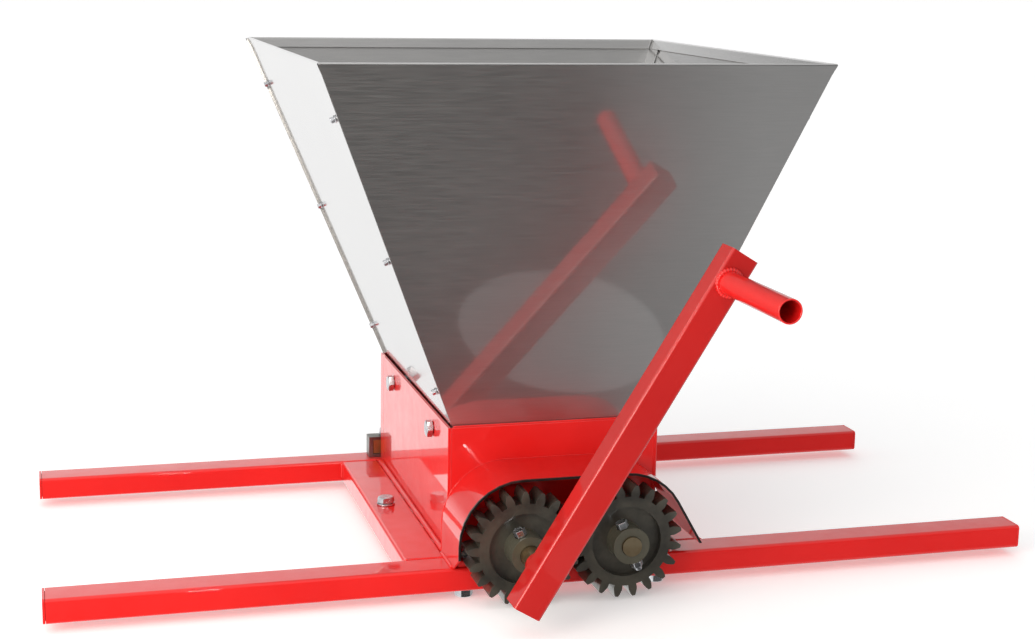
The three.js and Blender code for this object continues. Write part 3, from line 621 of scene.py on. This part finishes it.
def fold_hopper_corners():
    """The sheet is bent round each slanted corner, a narrow round edge from rim to neck."""
    for hand, side in SIDES:
        panel_low, panel_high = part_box(f"hopper_panel_{hand}")
        x_rim = panel_low.x if side < 0 else panel_high.x
        x_neck = side * max(side * point.x for point in neck_points(f"hopper_panel_{hand}"))
        for end, facing in (("front", -1), ("back", 1)):
            low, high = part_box(f"hopper_panel_{end}")
            y_rim = low.y if facing < 0 else high.y
            y_neck = facing * max(facing * point.y for point in neck_points(f"hopper_panel_{end}"))
            inwards = Vector((-side * FOLD_RADIUS, -facing * FOLD_RADIUS, 0))
            rim = Vector((x_rim, y_rim, high.z)) + inwards
            neck = Vector((x_neck, y_neck, neck_top())) + inwards
            rim = rim.lerp(neck, FOLD_START)
            add_bead(f"hopper_fold_{hand}_{end}", [rim, neck], FOLD_RADIUS, "frame",
                     ripple=0, slot="stainless")
            if end == "back":
                add_proud_edge(hand, side, rim, neck)


fold_hopper_corners()

# ------------------------------------------------------------- bolts and screws

TURN_STEPS = 72  # points round a bolt, a multiple of six for its hexagon
CHAMFER = math.tan(math.radians(28))  # slope of the chamfer on a hexagon's corners
CHAMFER_HEIGHT = 0.25 * MM
CHAMFER_SHARE = 0.93  # width of a hexagon's end face, as a share of its width across flats
THREAD_PITCH = 0.7 * MM
THREAD_DEPTH = 0.4 * MM
THREAD_START = 0.3 * MM  # from the end of a bolt to its thread
BOLT_END_SHARE = 0.8  # width of a bolt's end, as a share of its shank's
POINT_SHARE = 0.7  # width of a screw where its thread starts
TINY = 0.01 * MM  # keeps two rings in one plane apart

BOLT = {
    "shank": 4 * MM,  # radius
    "hexagon": 7.5 * MM,  # radius over its corners
    "head": 5.5 * MM,  # height
    "washer_radius": 8 * MM,
    "washer": 1.6 * MM,  # thickness
    "washer_edge": 0.3 * MM,  # its chamfer
    "tail": 2 * MM,  # thread past the nut of a side bolt
}
SCREW = {
    "length": 11.3 * MM,
    "head": 4 * MM,  # height, with the flange
    "flange": 3 * MM,  # radius
    "flange_height": 1 * MM,
    "hexagon": 2.5 * MM,  # radius over its corners
    "flange_edge": 0.4 * MM,  # chamfer of its upper edge
    "shank": 2 * MM,  # radius
    "tip": 0.3 * MM,  # radius
    "point": 1 * MM,  # length
}


def ring(radius, z, hexagon=False, chamfer=0):
    """A round ring, or a six-sided one round it. chamfer pulls its corners down (1) or up (-1)."""
    points = []
    for i in range(TURN_STEPS):
        turn = 2 * math.pi * i / TURN_STEPS
        reach = radius
        if hexagon:
            sixth = (turn % (math.pi / 3)) - math.pi / 6
            reach = radius / math.cos(sixth)
        height = z - chamfer * (reach - radius) * CHAMFER
        points.append(Vector((reach * math.cos(turn), reach * math.sin(turn), height)))
    return points


def hexagon_rings(corner_radius, start, end):
    """A hexagon with both ends chamfered."""
    flat = corner_radius * math.cos(math.pi / 6)
    return [
        ring(flat * CHAMFER_SHARE, start),
        ring(flat, start + CHAMFER_HEIGHT, hexagon=True, chamfer=-1),
        ring(flat, end - CHAMFER_HEIGHT, hexagon=True, chamfer=1),
        ring(flat * CHAMFER_SHARE, end),
    ]


def thread_rings(radius, start, end):
    """Turns of thread, drawn as rings."""
    turns = max(1, int((end - start) / THREAD_PITCH))
    rings = []
    for i in range(turns):
        z = start + i * THREAD_PITCH
        rings += [ring(radius - THREAD_DEPTH, z), ring(radius, z + THREAD_PITCH / 2)]
    return rings


def washer_rings(start, end):
    """A washer with both edges chamfered."""
    radius, edge = BOLT["washer_radius"], BOLT["washer_edge"]
    return [
        ring(radius - edge, start),
        ring(radius, start + edge),
        ring(radius, end - edge),
        ring(radius - edge, end - 2 * TINY),
    ]


def bolt_rings(length, nut_start, nut_height, washer):
    """A bolt from its thread end at 0 to the top of its head at length. washer is its thickness."""
    head_start = length - BOLT["head"]
    washer_start = head_start - washer
    nut_end = nut_start + nut_height
    shank = BOLT["shank"]
    rings = [ring(shank * BOLT_END_SHARE, 0)]
    if nut_start > 0:
        rings += thread_rings(shank, THREAD_START, nut_start)
    rings += hexagon_rings(BOLT["hexagon"], nut_start + TINY, nut_end)
    rings += [ring(shank, nut_end), ring(shank, washer_start)]
    if washer > 0:
        rings += washer_rings(washer_start, head_start)
    return rings + hexagon_rings(BOLT["hexagon"], head_start, length)


def add_fastener(node_name, rings, origin, direction):
    """A turned piece in place of a CAD fastener, from origin along direction."""
    turn = direction.to_track_quat("Z", "Y").to_matrix().to_4x4()
    place = Matrix.Translation(origin) @ turn
    builder = bmesh.new()
    stack_rings(builder, [[place @ point for point in one] for one in rings])
    piece = finish_piece(f"{node_name}_detail", builder, "zinc_fastener", "frame")
    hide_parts(node_name)


def detail_upright_bolts():
    """Bolts with the head on top and the nut under the rail or cross member."""
    rail_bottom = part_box("front_rail")[0].z
    names = [f"cross_bolt_{hand}" for hand, _ in SIDES]
    names += [f"{end}_rail_bolt_{hand}" for end in ("front", "rear") for hand, _ in SIDES]
    for name in names:
        low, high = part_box(name)
        middle = middle_of(name)
        nut_height = rail_bottom - GAP - low.z
        rings = bolt_rings(high.z - low.z, 0, nut_height, BOLT["washer"])
        add_fastener(name, rings, Vector((middle.x, middle.y, low.z)), Vector((0, 0, 1)))


def detail_side_bolts():
    """Bolts lying through the side plates, nuts inside the hopper's neck."""
    for hand, side in SIDES:
        for end in ("front", "rear"):
            name = f"body_bolt_{hand}_{end}"
            low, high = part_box(name)
            middle = middle_of(name)
            inner_x = high.x if side < 0 else low.x
            rings = bolt_rings(high.x - low.x, BOLT["tail"], BOLT["head"] - GAP, 0)
            add_fastener(name, rings, Vector((inner_x, middle.y, middle.z)), Vector((side, 0, 0)))


def screw_rings():
    """A sheet screw with a flanged hexagon head, from its tip to the top of its head."""
    length, flange, shank = SCREW["length"], SCREW["flange"], SCREW["shank"]
    head_start = length - SCREW["head"]
    flange_top = head_start + SCREW["flange_height"]
    rings = [ring(SCREW["tip"], 0), ring(shank * POINT_SHARE, SCREW["point"])]
    rings += thread_rings(shank, SCREW["point"] + 0.2 * MM, head_start - 0.5 * MM)
    rings += [
        ring(shank, head_start),
        ring(flange - 0.2 * MM, head_start),
        ring(flange, head_start + 0.3 * MM),
        ring(flange, flange_top - SCREW["flange_edge"]),
        ring(flange - SCREW["flange_edge"], flange_top),
    ]
    return rings + hexagon_rings(SCREW["hexagon"], flange_top + 0.05 * MM, length)


def detail_hopper_screws():
    """The screws stand square on the slanted side panels."""
    neck_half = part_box("body_plate_right")[1].x - WALL - NECK_SPACE
    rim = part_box("hopper_panel_right")[1]
    rise = rim.z - neck_top()
    run = rim.x - neck_half
    for hand, side in SIDES:
        outwards = Vector((side * rise, 0, -run)).normalized()
        for end in ("front", "back"):
            for number in (1, 2, 3):
                name = f"hopper_screw_{hand}_{end}_{number}"
                low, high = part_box(name)
                # The flange is the outermost and lowest part, so the box gives the head's middle.
                outer_x = low.x if side < 0 else high.x
                head_x = outer_x - side * SCREW["flange"] * abs(outwards.z)
                head_z = low.z + SCREW["flange"] * abs(outwards.x)
                head = Vector((head_x, middle_of(name).y, head_z))
                add_fastener(name, screw_rings(), head - outwards * SCREW["length"], outwards)


detail_upright_bolts()
detail_side_bolts()
detail_hopper_screws()

# ------------------------------------------------------- floor, light and camera

FLOOR_HALF = 30  # metres from the middle of the floor to its edge


def make_floor():
    """A pale matt floor, which gives off a little light and which nothing mirrors."""
    builder = bmesh.new()
    bmesh.ops.create_grid(builder, x_segments=1, y_segments=1, size=FLOOR_HALF)
    mesh = bpy.data.meshes.new("floor")
    builder.to_mesh(mesh)
    builder.free()
    material, tree, shader = start_material(
        "pale_floor", Roughness=0.9, Emission_Color=(1, 1, 1, 1), Emission_Strength=0.27)
    tone = remap(tree, noise(tree, 3), 0.3, 0.7, 0, 1)
    colour = mix_colours(tree, tone, (0.93, 0.93, 0.93), (0.95, 0.95, 0.95))
    tree.links.new(colour, shader.inputs["Base Color"])
    mesh.materials.append(material)
    floor = bpy.data.objects.new("floor", mesh)
    bpy.context.scene.collection.objects.link(floor)
    floor.visible_glossy = False


DARK_SIDE = Vector((0.1, -0.9, -0.4)).normalized()  # the middle of the unlit part of the room
# How bright the room is, by the cosine of the angle from the dark side.
ROOM_STEPS = ((0.4, 1.0), (0.68, 0.24), (0.85, 0.14), (0.95, 0.04))
# Below, from_ and to_ are bounds of the direction in which the room is seen, a vector of length 1.
SIDE_FADE = {"from_x": -0.2, "to_x": 0.6, "left": 1.15, "right": 0.5}
BACK_LEFT = {
    "from_x": -0.2, "to_x": -0.32,
    "from_y": 0.2, "to_y": 0.6,
    "from_z": -0.08, "to_z": 0.06,
    "light": 0.3,
}
RIGHT_CARD = {"from_x": 0.29, "to_x": 0.4, "from_z": -0.3, "to_z": -0.42, "light": 0.52}


def fade(tree, direction, towards, steps):
    """A number that follows steps of (cosine of the angle to towards, value)."""
    angle = add_node(tree, "ShaderNodeVectorMath", operation="DOT_PRODUCT")
    angle.inputs[1].default_value = towards
    tree.links.new(direction, angle.inputs[0])
    ramp = add_node(tree, "ShaderNodeValToRGB")
    tree.links.new(angle.outputs["Value"], ramp.inputs[0])
    stops = ramp.color_ramp.elements
    while len(stops) < len(steps):
        stops.new(0.5)
    for stop, (place, value) in zip(stops, steps):
        stop.position = place
        stop.color = (value, value, value, 1)
    return ramp.outputs[0]


def back_left_dimming(tree, x, y, z):
    """The share of their light that the walls keep: all of it, but less behind on the left."""
    left = remap(tree, x, BACK_LEFT["from_x"], BACK_LEFT["to_x"], 0, 1)
    back = remap(tree, y, BACK_LEFT["from_y"], BACK_LEFT["to_y"], 0, 1)
    high = remap(tree, z, BACK_LEFT["from_z"], BACK_LEFT["to_z"], 0, 1)
    corner = combine(tree, "MULTIPLY", combine(tree, "MULTIPLY", left, back), high)
    return remap(tree, corner, 0, 1, 1, BACK_LEFT["light"])


def right_card(tree, x, z):
    """The light of a pale card low on the right, and 0 elsewhere."""
    across = remap(tree, x, RIGHT_CARD["from_x"], RIGHT_CARD["to_x"], 0, RIGHT_CARD["light"])
    down = remap(tree, z, RIGHT_CARD["from_z"], RIGHT_CARD["to_z"], 0, 1)
    return combine(tree, "MULTIPLY", across, down)


def make_room():
    """White behind, above and at the sides, dimmer behind on the left and towards the right, dark
    in front, with a pale card low on the right. Looked at directly, it is plain white."""
    world = bpy.data.worlds.new("studio")
    world.use_nodes = True
    bpy.context.scene.world = world
    tree = world.node_tree
    tree.nodes.clear()
    direction = add_node(tree, "ShaderNodeTexCoord").outputs["Generated"]
    axes = add_node(tree, "ShaderNodeSeparateXYZ")
    tree.links.new(direction, axes.inputs[0])
    x, y, z = axes.outputs["X"], axes.outputs["Y"], axes.outputs["Z"]
    walls = fade(tree, direction, DARK_SIDE, ROOM_STEPS)
    walls = combine(tree, "MULTIPLY", walls, back_left_dimming(tree, x, y, z))
    sideways = remap(
        tree, x, SIDE_FADE["from_x"], SIDE_FADE["to_x"], SIDE_FADE["left"], SIDE_FADE["right"])
    walls = combine(tree, "MULTIPLY", walls, sideways)
    light = combine(tree, "MAXIMUM", walls, right_card(tree, x, z))
    room = add_node(tree, "ShaderNodeBackground")
    plain = add_node(tree, "ShaderNodeBackground")
    for background in (room, plain):
        background.inputs["Color"].default_value = (1, 1, 1, 1)
    tree.links.new(light, room.inputs["Strength"])
    seen = add_node(tree, "ShaderNodeLightPath")
    choose = add_node(tree, "ShaderNodeMixShader")
    tree.links.new(seen.outputs["Is Camera Ray"], choose.inputs[0])
    tree.links.new(room.outputs[0], choose.inputs[1])
    tree.links.new(plain.outputs[0], choose.inputs[2])
    output = add_node(tree, "ShaderNodeOutputWorld")
    tree.links.new(choose.outputs[0], output.inputs["Surface"])


def add_light(name, place, target, size, watts, colour=(1, 1, 1), shape="RECTANGLE"):
    """A flat lamp at place, shining towards target, with its two widths as size."""
    data = bpy.data.lights.new(name, "AREA")
    data.color = colour
    data.shape = shape
    data.size, data.size_y = size
    data.energy = watts
    lamp = bpy.data.objects.new(name, data)
    lamp.location = place
    lamp.visible_camera = False
    lamp.rotation_euler = (Vector(target) - Vector(place)).to_track_quat("-Z", "Y").to_euler()
    bpy.context.scene.collection.objects.link(lamp)


CAMERA = {
    "place": Vector((-0.4048, -1.3789, 0.5008)),
    "yaw": math.radians(15.62),  # to the right of +Y
    "pitch": math.radians(11.54),  # downwards
    "roll": math.radians(1.03),
    "lens": 60.45,  # focal length and sensor width in millimetres
    "sensor": 36,
}


def make_camera():
    """Sets up the camera, turned by its yaw, then its pitch, then its roll."""
    ahead_flat = Vector((math.sin(CAMERA["yaw"]), math.cos(CAMERA["yaw"]), 0))
    right_flat = Vector((math.cos(CAMERA["yaw"]), -math.sin(CAMERA["yaw"]), 0))
    upright = Vector((0, 0, 1))
    ahead = ahead_flat * math.cos(CAMERA["pitch"]) - upright * math.sin(CAMERA["pitch"])
    up = upright * math.cos(CAMERA["pitch"]) + ahead_flat * math.sin(CAMERA["pitch"])
    right = right_flat * math.cos(CAMERA["roll"]) + up * math.sin(CAMERA["roll"])
    up = up * math.cos(CAMERA["roll"]) - right_flat * math.sin(CAMERA["roll"])
    data = bpy.data.cameras.new("camera")
    data.lens = CAMERA["lens"]
    data.sensor_width = CAMERA["sensor"]
    data.clip_start = 0.05
    data.clip_end = 100
    camera = bpy.data.objects.new("camera", data)
    turn = Matrix((right, up, -ahead)).transposed().to_4x4()
    camera.matrix_world = Matrix.Translation(CAMERA["place"]) @ turn
    bpy.context.scene.collection.objects.link(camera)
    bpy.context.scene.camera = camera


WARM_WHITE = (1.0, 0.93, 0.84)
SPOT = Vector((0.1, -0.337, 0.002))  # of pale floor before the rails, which the hopper mirrors

make_floor()
make_room()
add_light("key", place=(-1.0, -0.75, 0.45), target=(-0.1, 0, 0.1),
          size=(0.7, 0.7), watts=9, colour=WARM_WHITE)
add_light("lamp", place=(-0.1, -2.4, 0.95), target=(0, 0, 0.15), size=(0.07, 0.07), watts=3)
add_light("floor_spot", place=SPOT, target=SPOT + Vector((0, 0, 1)),
          size=(0.21, 0.2), watts=0.022, shape="ELLIPSE")
make_camera()
bpy.context.scene.view_settings.view_transform = "Standard"
